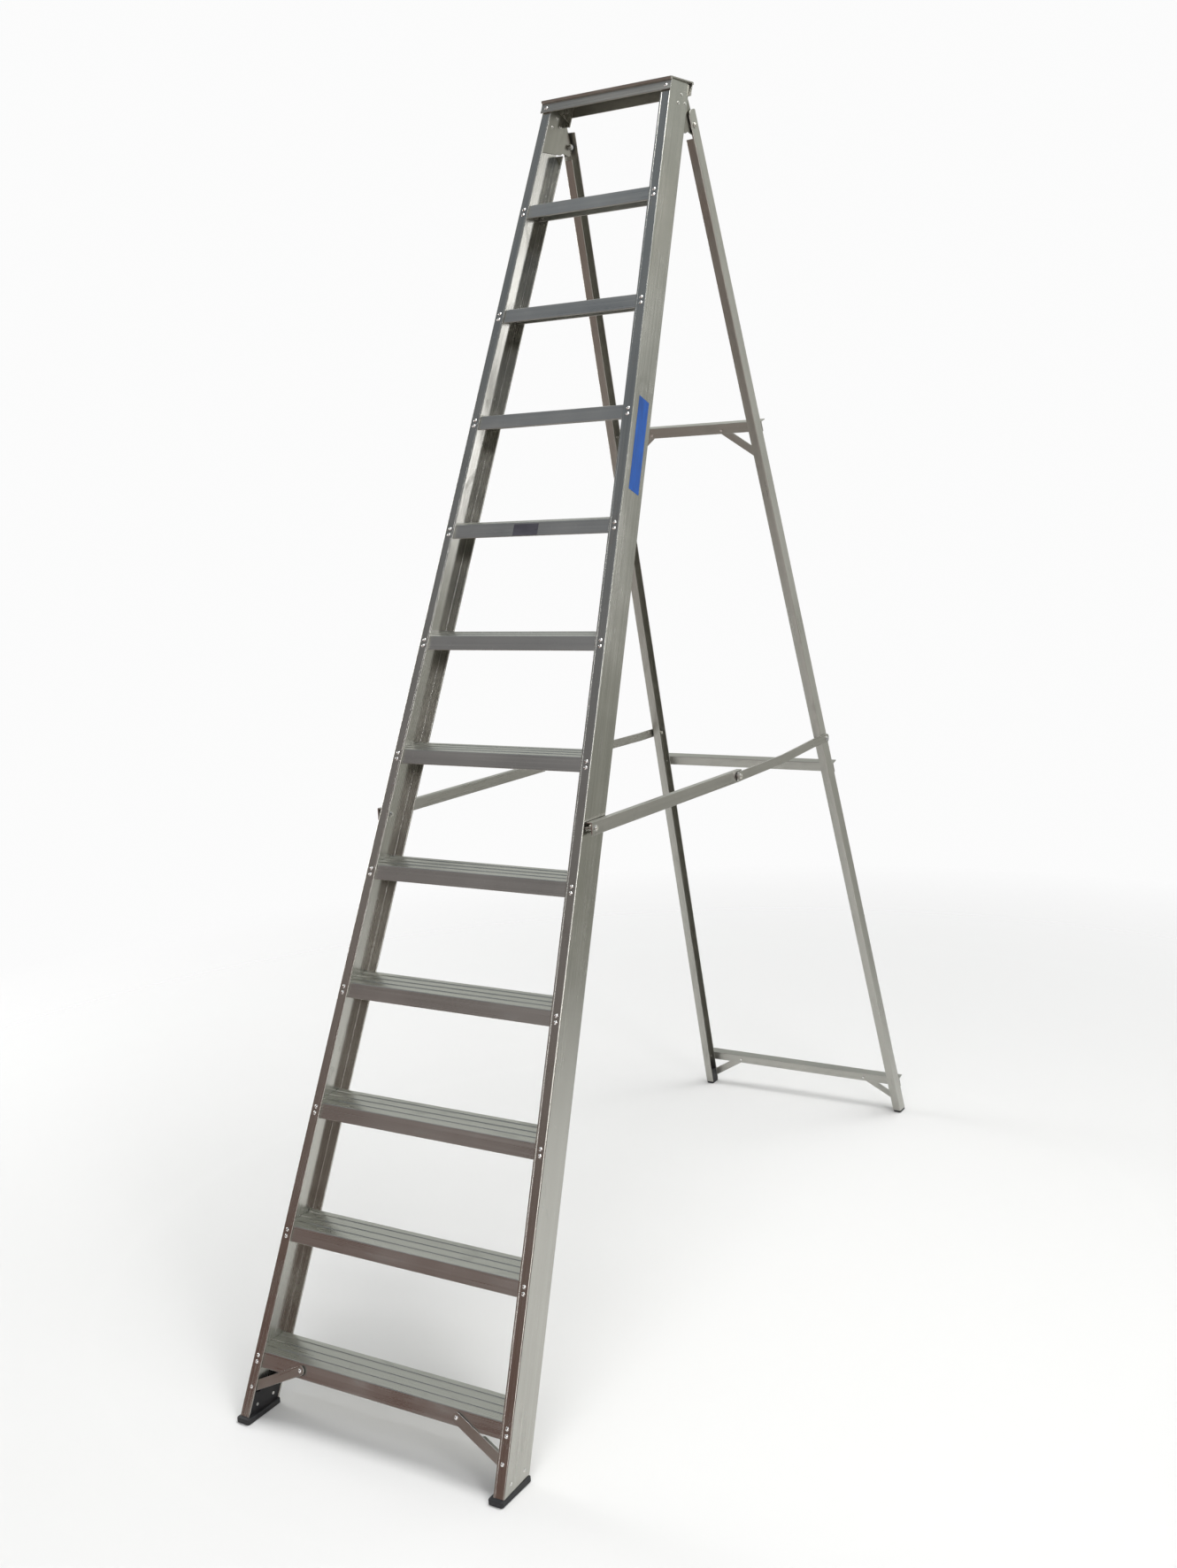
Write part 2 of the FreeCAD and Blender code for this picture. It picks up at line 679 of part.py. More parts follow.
def tread_brace_rivets():
    top, low = brace_ends()
    forward = stile_dir(0, -1, 0)
    slack = STILE_WALL + GAP - BRACE_TOP_DEPTH - BRACE_WALL
    upper = aimed(rivet(BRACE_WALL + TREAD_WALL + slack), top, forward)
    lower = aimed(rivet(BRACE_WALL + STILE_WALL + BRACE_LOW_GAP + 0.3),
                  low + forward * (STILE_WALL + BRACE_LOW_GAP), forward)
    return both([upper, lower])


# ---- labels -------------------------------------------------------------

def side_label():
    """Plain sticker on the outer face of the right-hand stile."""
    cos_taper = math.cos(math.atan(STILE_TAPER * COS_F))
    front, back = LABEL_DEPTHS
    low, high = (along / cos_taper for along in LABEL_ALONG)
    plate = box(GAP, GAP + LABEL_WALL, front, back, low, high)
    return placed(plate, STILE)


def rating_label():
    """Plain sticker on the front wall of one tread."""
    top = FIRST_TREAD + RATING_TREAD * TREAD_PITCH
    depth = STILE_WALL + GAP
    left, right = RATING_ACROSS
    low, high = (((top - below) + depth * SIN_F) / COS_F for below in RATING_BELOW)
    plate = box(left, right, depth - GAP - LABEL_WALL, depth - GAP, low, high)
    return placed(plate, FACE)


# ============================ rear frame =================================

def leg_half(depth, z):
    y = LEG_FOOT_Y + (depth - z * SIN_R) / COS_R
    up = -(y - LEG_FOOT_Y) * SIN_R + z * COS_R
    return LEG_HALF - LEG_TAPER * COS_R * up


def cross_rivet_points():
    """Rivets of the cross braces in the legs' rear flanges."""
    points = []
    for top in CROSS_TOPS.values():
        z = top - CROSS_WEB / 2 - 1
        points.append(rear_point(leg_half(LEG_DEPTH, z) - 11, LEG_DEPTH, z))
    return points


def corner_points(name):
    """Upper and lower rivet of a right-hand corner brace, on its rear face."""
    x0, z0, x1, z1 = CORNER_RISE[name]
    top = rear_point(x0, REAR_BACK + BRACE_WALL + 1.3, z0)
    low = rear_point(x1, LEG_DEPTH + 0.6 + BRACE_WALL, z1)
    return top, low


def leg_section():
    d = LEG_DEPTH
    f = -LEG_FLANGE
    w = LEG_WALL
    return [(0, 0, 2.4), (0, d, 2.4), (f, d, 0.9), (f, d - w, 0.9),
            (-w, d - w, 0), (-w, w, 0), (f, w, 0.9), (f, 0, 0.9)]


def rear_leg():
    pivot = math.hypot(HINGE_Z, HINGE_Y - LEG_FOOT_Y)
    pivot = math.sqrt(pivot * pivot - LEG_HINGE_DEPTH * LEG_HINGE_DEPTH)
    pivot = pivot / math.cos(math.atan(LEG_TAPER * COS_R))
    top = pivot + LEG_TOP
    rail = prism(leg_section(), -20, top)
    side = [(0, -30, 0), (LEG_DEPTH, -30, 0), (LEG_DEPTH, top, 8), (0, top, 16)]
    mask = placed(prism(side, -40, 5), frame(V(0, 0, 0), V(0, 1, 0), V(0, 0, 1)))
    rail = rail.common(mask)
    window = box(-40, -LEG_WALL, -5, LEG_DEPTH - LEG_WALL - 1, pivot - LEG_FLANGE_TOP, top + 5)
    rail = rail.cut(window)
    rail = placed(rail, LEG)
    rail = rail.cut(box(-600, 600, LEG_FOOT_Y - 300, LEG_FOOT_Y + 300, -300, PLUG_SOLE))
    back = leg_dir(0, 1, 0)
    holes = [aimed(rivet_hole(), p, back) for p in cross_rivet_points()]
    holes += [aimed(rivet_hole(), corner_points(n)[1], back) for n in CORNER_RISE]
    bore = Part.makeCylinder(BOLT_R + RUNNING, 80, V(0, 0, 130))
    holes.append(placed(bore, across(HINGE_Y, HINGE_Z)))
    bore = Part.makeCylinder(BOLT_R + GAP, 80, V(0, 0, 220))
    holes.append(placed(bore, across(STAY_B[0], STAY_B[1])))
    return drilled(rail, holes)


def cross_brace(top):
    """Angle across the back of both legs, with its flange pointing back."""
    up0 = top / COS_R - LEG_DEPTH * SIN_R / COS_R
    d = LEG_DEPTH + GAP
    w = CROSS_WALL
    # In the rear frame's depth and length.
    section = [(d, up0 - CROSS_WEB, 1.0), (d, up0, 1.8), (d + CROSS_FLANGE, up0, 1.0),
               (d + CROSS_FLANGE, up0 - w, 1.0), (d + w, up0 - w, 1.5),
               (d + w, up0 - CROSS_WEB, 1.0)]
    half = LEG_HALF
    lying = frame(V(0, 0, 0), V(0, 1, 0), V(0, 0, 1))
    body = placed(prism(section, -half, half), lying)
    body = placed(body, REAR)
    spare = placed(box(0, SPARE, -SPARE, SPARE, -SPARE, TALL), LEG)
    body = body.cut(spare)
    body = body.cut(mirrored(spare))
    back = leg_dir(0, 1, 0)
    holes = [aimed(rivet_hole(), p, back) for p in cross_rivet_points()]
    holes += [aimed(rivet_hole(), corner_points(n)[0], back) for n in CORNER_RISE]
    return drilled(body, holes + [mirrored(h) for h in holes])


def corner_brace(name):
    top, low = corner_points(name)
    length = (low - top).Length
    up = V(0, -SIN_R, COS_R)
    back = V(0, COS_R, SIN_R)
    along = (low - top).normalize()
    place = frame(top, along, up)
    half = BRACE_WIDTH / 2
    e = BRACE_END
    side = [(-e, -half, 9), (length + e, -half, 9), (length + e, half, 9), (-e, half, 9)]
    facing = place.Rotation.multVec(V(0, 0, 1)).dot(back)
    wall = -BRACE_WALL if facing > 0 else BRACE_WALL
    body = placed(prism(side, min(0, wall), max(0, wall)), place)
    holes = [aimed(rivet_hole(), point, back) for point in (top, low)]
    return drilled(body, holes)


def rear_brace_rivets():
    back = leg_dir(0, 1, 0)
    shapes = []
    for point in cross_rivet_points():
        at = point + back * (GAP + CROSS_WALL)
        shapes.append(aimed(rivet(CROSS_WALL + LEG_WALL + GAP), at, back))
    for name in CORNER_RISE:
        top, low = corner_points(name)
        shapes.append(aimed(rivet(BRACE_WALL + CROSS_WALL + 1.8), top, back))
        shapes.append(aimed(rivet(BRACE_WALL + LEG_WALL + 0.9), low, back))
    return both(shapes)


def rear_foot():
    """Rubber plug in the end of a rear leg."""
    w = LEG_WALL + 0.3
    block = box(-LEG_FLANGE + 1, -w, w, LEG_DEPTH - w, -30, PLUG_BLOCK + 30)
    block = placed(block, LEG)
    block = block.common(box(0, 600, 1500, 2500, PLUG_SOLE - 2, PLUG_BLOCK))
    sole = prism([(-LEG_FLANGE, 0.3, 4), (-0.2, 0.3, 4), (-0.2, LEG_DEPTH - 0.3, 4),
                  (-LEG_FLANGE, LEG_DEPTH - 0.3, 4)], -30, 60)
    sole = placed(sole, LEG)
    sole = sole.common(box(0, 600, 1500, 2500, 0, PLUG_SOLE - GAP))
    rim = [e for e in sole.Edges if abs(e.CenterOfMass.z) < 0.01]
    sole = sole.makeFillet(1.5, rim)
    body = sole.fuse(block).removeSplitter()
    room = aimed(Part.makeCylinder(6, 8, V(0, 0, -7)), corner_points("lower")[1],
                 leg_dir(0, 1, 0))
    return body.cut(room)


# =============================== stays ===================================

def stay_front_link():
    """Angle link from the stile to the elbow, with its flange turned inward."""
    length = (ELBOW_AT - STAY_A_AT).Length
    half = STAY_WEB / 2
    place = frame(STAY_A_AT, ELBOW_AT - STAY_A_AT, STAY_UP)
    # Local X along the link, Y up, Z towards +X of the ladder.
    o = STAY_OUTER
    w = STAY_WALL
    end = LINK_REAR_END
    start = -LINK_FRONT_END
    web = prism([(start, -half, 3.0), (length + end, -half, 9), (length + end, half, 1.5),
                 (start, half, 1.5)], o - w, o)
    top = box(start, length + end, half - w, half, o - STAY_TOP_FLANGE, o - w / 2)
    body = web.fuse(top).removeSplitter()
    body = body.cut(Part.makeCylinder(BOLT_R + RUNNING, 20, V(0, 0, o - 10)))
    body = body.cut(Part.makeCylinder(BOLT_R + GAP, 20, V(length, 0, o - 10)))
    return placed(body, place)


def stay_rear_link():
    """Flat bar from the elbow to the rear leg, cranked inward on its way."""
    length = (STAY_B_AT - ELBOW_AT).Length
    place = frame(ELBOW_AT, STAY_B_AT - ELBOW_AT, STAY_UP)
    a = BAR_AT_ELBOW
    b = BAR_AT_LEG
    t = BAR_WALL
    bend = CRANK_BEND
    tail = BAR_END
    # Seen from above: distance along the bar, then the ladder's X.
    plan = [(-tail, a, 0), (CRANK_FROM, a, bend), (CRANK_TO, b, bend), (length + tail, b, 0),
            (length + tail, b + t, 0), (CRANK_TO, b + t, bend), (CRANK_FROM, a + t, bend),
            (-tail, a + t, 0)]
    half = BAR_HEIGHT / 2
    bar = prism(plan, -half, half)
    bar = placed(bar, frame(V(0, 0, 0), V(1, 0, 0), V(0, 0, 1)))
    side = prism([(-tail, -half, 8), (length + tail, -half, 10.5), (length + tail, half, 10.5),
                  (-tail, half, 8)], b - 5, a + 10)
    body = bar.common(side)
    body = body.cut(Part.makeCylinder(BOLT_R + GAP, 20, V(0, 0, a - 8)))
    body = body.cut(Part.makeCylinder(BOLT_R + RUNNING, 20, V(length, 0, b - 8)))
    return placed(body, place)


def main():
    right = stile()
    keep("stile_right", right)
    keep("stile_left", mirrored(right))
    for i in range(TREAD_COUNT):
        keep("tread_%02d" % (i + 1), tread(i))
    keep("top_cap", top_cap())
    keep("cap_rivets", both(cap_rivets()))
    bracket = hinge_bracket()
    keep("hinge_bracket_right", bracket)
    keep("hinge_bracket_left", mirrored(bracket))
    keep("bracket_rivets", bracket_rivets())
    keep("tread_rivets_front", tread_rivets(0, 0, stile_dir(0, -1, 0)))
    keep("tread_rivets_rear", tread_rivets(STILE_DEPTH, REAR_RIVET_SHIFT, stile_dir(0, 1, 0)))
    foot = front_foot()
    keep("front_foot_right", foot)
    keep("front_foot_left", mirrored(foot))
    keep("front_foot_rivets", front_foot_rivets())
    brace = tread_brace()
    keep("tread_brace_right", brace)
    keep("tread_brace_left", mirrored(brace))
    keep("tread_brace_rivets", tread_brace_rivets())
    keep("side_label", side_label())
    keep("rating_label", rating_label())

    leg = rear_leg()
    keep("rear_leg_right", leg)
    keep("rear_leg_left", mirrored(leg))
    for name, top in CROSS_TOPS.items():
        keep(name, cross_brace(top))
    for name in CORNER_RISE:
        corner = corner_brace(name)
        keep("corner_brace_%s_right" % name, corner)
        keep("corner_brace_%s_left" % name, mirrored(corner))
    plug = rear_foot()
    keep("rear_foot_right", plug)
    keep("rear_foot_left", mirrored(plug))
    keep("rear_brace_rivets", rear_brace_rivets())

    hinge = across(HINGE_Y, HINGE_Z)
    leg_out = leg_half(LEG_HINGE_DEPTH, HINGE_Z)
    plate_out = stile_half(HINGE_DEPTH, HINGE_Z) - STILE_WEB - GAP
    plate_in = plate_out - BRACKET_PLATE
    keep("hinge_bolts", both([placed(pivot_bolt(plate_in - 10, leg_out + 0.6), hinge)]))
    keep("hinge_nuts", both([placed(nut(plate_in - NUT_GAP - NUT_HEIGHT), hinge)]))
    washer = ring(8.5, BOLT_R + GAP, plate_out + 0.5, leg_out - LEG_WALL - 0.6)
    keep("hinge_washers", both([placed(washer, hinge)]))

    at_a = across(STAY_A[0], STAY_A[1])
    web_out = stile_half(STAY_A_DEPTH, STAY_A[1])
    web_in = web_out - STILE_WEB
    keep("stay_front_bolts", both([placed(pivot_bolt(web_in - 13, STAY_OUTER + LINK_CLEAR), at_a)]))
    spacer = ring(6.5, BOLT_R + GAP, web_out + 0.5, STAY_OUTER - STAY_WALL - LINK_CLEAR)
    keep("stay_front_spacers", both([placed(spacer, at_a)]))
    keep("stay_front_nuts", both([placed(nut(web_in - NUT_GAP - NUT_HEIGHT), at_a)]))

    at_b = across(STAY_B[0], STAY_B[1])
    leg_b = leg_half(STAY_B_DEPTH, STAY_B[1])
    bar_out = BAR_AT_LEG + BAR_WALL
    keep("stay_rear_bolts", both([placed(pivot_bolt(leg_b - 20, bar_out + LINK_CLEAR), at_b)]))
    keep("stay_rear_washers", both([placed(ring(7.5, BOLT_R + GAP, leg_b + 0.5,
                                                BAR_AT_LEG - LINK_CLEAR), at_b)]))
    keep("stay_rear_nuts", both([placed(nut(leg_b - LEG_WALL - 1 - NUT_HEIGHT), at_b)]))

    front = stay_front_link()
    keep("stay_front_link_right", front)
    keep("stay_front_link_left", mirrored(front))
    rear = stay_rear_link()
    keep("stay_rear_link_right", rear)
    keep("stay_rear_link_left", mirrored(rear))
    elbow = across(ELBOW_AT.y, ELBOW_AT.z)
    pin = placed(pivot_bolt(STAY_OUTER + 0.4, BAR_AT_ELBOW + BAR_WALL, ELBOW_HEAD_R), elbow)
    keep("elbow_bolt_right", pin)
    keep("elbow_bolt_left", mirrored(pin))
    lock = placed(nut(STAY_OUTER - STAY_WALL - LINK_CLEAR - NUT_HEIGHT), elbow)
    keep("elbow_nut_right", lock)
    keep("elbow_nut_left", mirrored(lock))

    os.makedirs("parts", exist_ok=True)
    for name, shape in NODES.items():
        shape.exportStep("parts/%s.step" % name)
    print(len(NODES), "nodes")
    for label, point in (("hinge", V(0, HINGE_Y, HINGE_Z)), ("stay A", STAY_A_AT),
                         ("stay B", STAY_B_AT), ("elbow", ELBOW_AT)):
        print(label, "y %.2f z %.2f" % (point.y - ORIGIN_Y, point.z))


main()
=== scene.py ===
import math

import bpy
from mathutils import Matrix, Vector

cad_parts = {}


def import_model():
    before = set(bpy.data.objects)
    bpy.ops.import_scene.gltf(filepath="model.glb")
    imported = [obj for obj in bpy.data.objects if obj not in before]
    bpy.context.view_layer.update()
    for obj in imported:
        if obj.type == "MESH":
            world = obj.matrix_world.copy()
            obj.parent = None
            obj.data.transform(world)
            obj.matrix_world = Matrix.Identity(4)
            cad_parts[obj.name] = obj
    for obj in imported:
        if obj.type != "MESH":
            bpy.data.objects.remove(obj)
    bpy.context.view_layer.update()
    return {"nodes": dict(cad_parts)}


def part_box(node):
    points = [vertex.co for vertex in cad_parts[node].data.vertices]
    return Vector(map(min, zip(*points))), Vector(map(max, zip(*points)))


# Looks of the swing-back step ladder: mill-finish aluminium extrusions with die
# lines, handling marks and soft edges, zinc plated bolts, rubber shoes and two
# plain stickers.  Metres, in the frame of the CAD model.

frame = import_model()
NODES = frame["nodes"]

# ---- Directions of the extrusions --------------------------------------
CLIMB_LEAN = math.radians(25.0)     # stiles, from vertical
REAR_LEAN = math.radians(15.0)      # rear legs, from vertical
STILE_TAPER = 0.06032               # half width lost for each metre of height
LEG_TAPER = 0.05288
STAY_SLOPE = math.radians(-1.3)     # stays, below the horizon towards the back
NEARLY_ALONG_X = 0.9                # X of a direction that counts as along X

# ---- Surface detail -----------------------------------------------------
EDGE_RADIUS = 0.0007                # softened edges of the extrusions
EDGE_WEAR_AND_HIGHLIGHT = 0.4                    # how far an edge is lightened, as rubbed wear and a painted highlight
# The stiles' edges are softer and lightened more, as rubbed wear and a painted highlight.
STILE_EDGE_RADIUS = 0.0010
STILE_EDGE_WEAR_AND_HIGHLIGHT = 0.6
DIE_LINES = (1.5, 420.0, 420.0)     # noise per metre: along the extrusion, then across
BANDS = (0.7, 60.0, 60.0)
SMUDGES = (9.0, 24.0, 24.0)
SCUFFS = (260.0, 70.0, 70.0)
WAVES = (5.0, 14.0, 14.0)
SHADE = 0.86                        # darkest tone of an alloy, as a share of its tint
GLINT = 1.10                        # and its lightest
GRIME = 0.62                        # and where it is grimy
SCUFFED = (0.80, 0.80, 0.79)        # bright scuff marks
RUBBED_AND_HIGHLIT = (0.90, 0.90, 0.89)         # colour of lightened edges: rubbed wear and a painted highlight
BRUSHED = 0.45                      # anisotropy of drawn aluminium


def rail(lean, taper, side):
    """Unit vector up a sloping rail on one side of the ladder."""
    return Vector((-side * taper, math.tan(lean), 1.0)).normalized()


ALONG_X = Vector((1, 0, 0))
ALONG_STAY = Vector((0, math.cos(STAY_SLOPE), math.sin(STAY_SLOPE)))


# ---- Small shader vocabulary -------------------------------------------

class Shader:
    """A node tree with one Principled surface, built a node at a time."""

    def __init__(self, name):
        self.material = bpy.data.materials.new(name)
        self.material.use_nodes = True
        self.tree = self.material.node_tree
        self.surface = self.tree.nodes["Principled BSDF"]

    def node(self, kind, inputs=None, **settings):
        made = self.tree.nodes.new(kind)
        for key, value in settings.items():
            setattr(made, key, value)
        for key, value in (inputs or {}).items():
            if isinstance(value, bpy.types.NodeSocket):
                self.tree.links.new(value, made.inputs[key])
            else:
                made.inputs[key].default_value = value
        return made

    def feed(self, socket, value):
        """Link or set one input of the surface."""
        if isinstance(value, bpy.types.NodeSocket):
            self.tree.links.new(value, self.surface.inputs[socket])
        else:
            self.surface.inputs[socket].default_value = value

    def position(self, along=None):
        """Object coordinates, turned so that local X runs along the extrusion."""
        here = self.node("ShaderNodeTexCoord").outputs["Object"]
        if along is None:
            return here
        if abs(along.x) > NEARLY_ALONG_X:
            side = along.orthogonal().normalized()
        else:
            side = along.cross(ALONG_X).normalized()
        turn = Matrix((along, side, along.cross(side)))
        mapping = self.node("ShaderNodeMapping", {"Vector": here,
                                                  "Rotation": turn.to_euler("XYZ")})
        return mapping.outputs["Vector"]

    def stretched(self, where, x, y, z):
        return self.node("ShaderNodeVectorMath", {0: where, 1: (x, y, z)},
                         operation="MULTIPLY").outputs["Vector"]

    def noise(self, where, scale, detail=3.0, roughness=0.5, distortion=0.0):
        return self.node("ShaderNodeTexNoise", {
            "Vector": where, "Scale": scale, "Detail": detail, "Roughness": roughness,
            "Distortion": distortion}).outputs["Fac"]

    def remap(self, value, low, high, to_low, to_high):
        return self.node("ShaderNodeMapRange", {
            "Value": value, "From Min": low, "From Max": high,
            "To Min": to_low, "To Max": to_high}).outputs["Result"]

    def maths(self, operation, a, b):
        return self.node("ShaderNodeMath", {0: a, 1: b}, operation=operation).outputs["Value"]

    def mix(self, factor, a, b):
        made = self.node("ShaderNodeMix", data_type="RGBA")
        for socket, value in zip((made.inputs[0], made.inputs[6], made.inputs[7]),
                                 (factor, a, b)):
            if isinstance(value, bpy.types.NodeSocket):
                self.tree.links.new(value, socket)
            else:
                socket.default_value = value
        return made.outputs[2]

    def edges(self, radius=EDGE_RADIUS):
        """1 on a convex or concave edge, 0 on a flat face, and the rounded normal."""
        soft = self.node("ShaderNodeBevel", {"Radius": radius}, samples=4).outputs["Normal"]
        true = self.node("ShaderNodeNewGeometry").outputs["True Normal"]
        agree = self.node("ShaderNodeVectorMath", {0: soft, 1: true},
                          operation="DOT_PRODUCT").outputs["Value"]
        return self.remap(agree, 1.0, 0.8, 0.0, 1.0), soft

    def bump(self, height, strength, distance, normal=None):
        made = self.node("ShaderNodeBump", {"Height": height, "Strength": strength,
                                            "Distance": distance})
        if normal is not None:
            self.tree.links.new(normal, made.inputs["Normal"])
        return made.outputs["Normal"]


def rgb(r, g, b):
    return (r, g, b, 1.0)


# ---- Materials ----------------------------------------------------------

def alloy(name, along, tint, roughness,
          edge_radius=EDGE_RADIUS, edge_wear_and_highlight=EDGE_WEAR_AND_HIGHLIGHT):
    """Mill-finish aluminium extrusion with die lines that run along it."""
    s = Shader(name)
    here = s.position(along)
    lines = s.noise(s.stretched(here, *DIE_LINES), 1.0, 4.0, 0.6)
    bands = s.noise(s.stretched(here, *BANDS), 1.0, 2.0, 0.5)
    cloud = s.noise(here, 5.0, 3.0, 0.55)
    smudge = s.noise(s.stretched(here, *SMUDGES), 1.0, 3.0, 0.6, 0.6)
    scuff = s.noise(s.stretched(here, *SCUFFS), 1.0, 3.0, 0.7, 1.2)
    edge, soft = s.edges(edge_radius)
    dark = rgb(*(c * SHADE for c in tint))
    light = rgb(*(min(c * GLINT, 1.0) for c in tint))
    tone = s.maths("ADD", s.remap(lines, 0.3, 0.7, 0.0, 0.35),
                   s.maths("ADD", s.remap(bands, 0.3, 0.7, 0.0, 0.35),
                           s.remap(cloud, 0.3, 0.7, 0.0, 0.3)))
    colour = s.mix(tone, dark, light)
    grime = s.remap(smudge, 0.58, 0.75, 0.0, 0.35)
    colour = s.mix(grime, colour, rgb(*(c * GRIME for c in tint)))
    bright = s.remap(scuff, 0.66, 0.74, 0.0, 0.4)
    colour = s.mix(bright, colour, rgb(*SCUFFED))
    # Edges lightened by the edge mask: partly rubbed wear, partly a painted highlight along
    # every edge.
    colour = s.mix(s.maths("MULTIPLY", edge, edge_wear_and_highlight), colour, rgb(*RUBBED_AND_HIGHLIT))
    s.feed("Base Color", colour)
    s.feed("Metallic", 1.0)
    rough = s.maths("ADD", s.remap(lines, 0.3, 0.7, roughness - 0.05, roughness + 0.07),
                    s.remap(cloud, 0.35, 0.65, -0.03, 0.05))
    s.feed("Roughness", s.maths("ADD", rough, s.maths("MULTIPLY", grime, 0.35)))
    s.feed("Anisotropic", BRUSHED)
    turned = s.node("ShaderNodeVectorTransform", {"Vector": tuple(along)},
                    vector_type="VECTOR", convert_from="OBJECT", convert_to="WORLD")
    s.feed("Tangent", turned.outputs["Vector"])
    wave = s.noise(s.stretched(here, *WAVES), 1.0, 1.0, 0.4)
    waved = s.bump(wave, 0.08, 0.002, soft)
    s.feed("Normal", s.bump(lines, 0.12, 0.0002, waved))
    return s.material


def zinc(name):
    """Bright zinc plate, a little blue and yellow, lighter along its edges: partly wear,
    partly a painted highlight.
    """
    s = Shader(name)
    here = s.position()
    cloud = s.noise(here, 90.0, 3.0, 0.6)
    hue = s.noise(here, 35.0, 2.0, 0.5)
    edge, soft = s.edges(0.0005)
    colour = s.mix(s.remap(hue, 0.35, 0.65, 0.0, 1.0), rgb(0.50, 0.52, 0.55),
                   rgb(0.60, 0.58, 0.52))
    # Edges lightened by the edge mask: partly wear, partly a painted highlight.
    s.feed("Base Color", s.mix(edge, colour, rgb(0.82, 0.82, 0.80)))
    s.feed("Metallic", 1.0)
    s.feed("Roughness", s.remap(cloud, 0.3, 0.7, 0.22, 0.42))
    s.feed("Normal", s.bump(cloud, 0.12, 0.0003, soft))
    return s.material


def rivet_metal(name):
    """Pressed aluminium rivet heads, brighter than the extrusions."""
    s = Shader(name)
    here = s.position()
    cloud = s.noise(here, 160.0, 2.0, 0.5)
    colour = s.mix(s.remap(cloud, 0.35, 0.65, 0.0, 1.0), rgb(0.62, 0.62, 0.60),
                   rgb(0.80, 0.79, 0.77))
    s.feed("Base Color", colour)
    s.feed("Metallic", 1.0)
    s.feed("Roughness", s.remap(cloud, 0.3, 0.7, 0.16, 0.28))
    s.feed("Normal", s.bump(cloud, 0.1, 0.0002))
    return s.material


def rubber(name):
    """Black moulded rubber, dusty, and greyer along its edges: partly rubbed wear, partly a
    painted highlight.
    """
    s = Shader(name)
    here = s.position()
    grain = s.noise(here, 900.0, 2.0, 0.6)
    dust = s.noise(here, 26.0, 4.0, 0.6)
    edge, soft = s.edges(0.0012)
    colour = s.mix(s.remap(dust, 0.45, 0.75, 0.0, 0.8), rgb(0.010, 0.010, 0.012),
                   rgb(0.035, 0.033, 0.032))
    # Edges greyed by the edge mask: partly rubbed wear, partly a painted highlight.
    s.feed("Base Color", s.mix(s.maths("MULTIPLY", edge, 0.5), colour,
                               rgb(0.06, 0.058, 0.06)))
    s.feed("Roughness", s.remap(dust, 0.3, 0.7, 0.48, 0.72))
    s.feed("Normal", s.bump(grain, 0.25, 0.0003, soft))
    return s.material


def film(name, colour, fleck, along):
    """Printed vinyl sticker with worn flecks and tiny ripples."""
    s = Shader(name)
    here = s.position(along)
    worn = s.noise(s.stretched(here, 70.0, 150.0, 150.0), 1.0, 2.0, 0.6)
    tone = s.noise(s.stretched(here, 12.0, 50.0, 50.0), 1.0, 3.0, 0.6)
    ripple = s.noise(here, 45.0, 2.0, 0.5)
    ink = s.mix(s.remap(tone, 0.3, 0.7, 0.0, 1.0), rgb(*(c * 0.72 for c in colour)),
                rgb(*(min(c * 1.2, 1.0) for c in colour)))
    s.feed("Base Color", s.mix(s.remap(worn, 0.74, 0.78, 0.0, 0.8), ink, fleck))
    s.feed("Roughness", s.remap(tone, 0.3, 0.7, 0.30, 0.45))
    s.feed("Specular IOR Level", 0.2)
    s.feed("Normal", s.bump(ripple, 0.3, 0.0006))
    return s.material


STILE_TINT = (0.45, 0.445, 0.41)
TREAD_TINT = (0.46, 0.46, 0.435)
CAP_TINT = (0.40, 0.39, 0.355)
PLATE_TINT = (0.27, 0.265, 0.23)
LEG_TINT = (0.44, 0.435, 0.40)
STAY_TINT = (0.50, 0.49, 0.465)


def dress(material, names):
    """Put one material on the named CAD nodes."""
    for name in names:
        for slot in NODES[name].material_slots:
            slot.material = material


